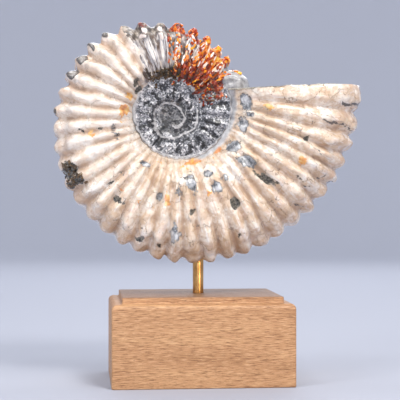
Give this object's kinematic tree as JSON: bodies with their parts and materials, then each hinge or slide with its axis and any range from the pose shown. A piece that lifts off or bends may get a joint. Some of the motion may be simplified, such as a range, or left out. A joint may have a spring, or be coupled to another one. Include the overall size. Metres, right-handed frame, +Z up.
{
  "type": "douvilleiceras ammonite",
  "caption": "Ribbed ammonite fossil coiled in a flat spiral, held upright on a brass rod that stands in an oak block with a moulded top edge.",
  "frame": {"origin": "centre of the block's underside, on the rod's axis", "axes": "+Z up along the rod, +X towards the ammonite's mouth, -Y the side seen in the picture, with the coil's axis along Y"},
  "size_m": [0.1808, 0.08, 0.2109],
  "materials": {
    "shell": "polished pearly shell with pink, peach and amber tints, grey calcite patches and dark crystals",
    "rod": "polished",
    "block": "light oak, sanded and oiled"
  },
  "bodies": {
    "root": {"ammonite": "shell", "pin": "rod", "base": "block"}
  },
  "joints": []
}
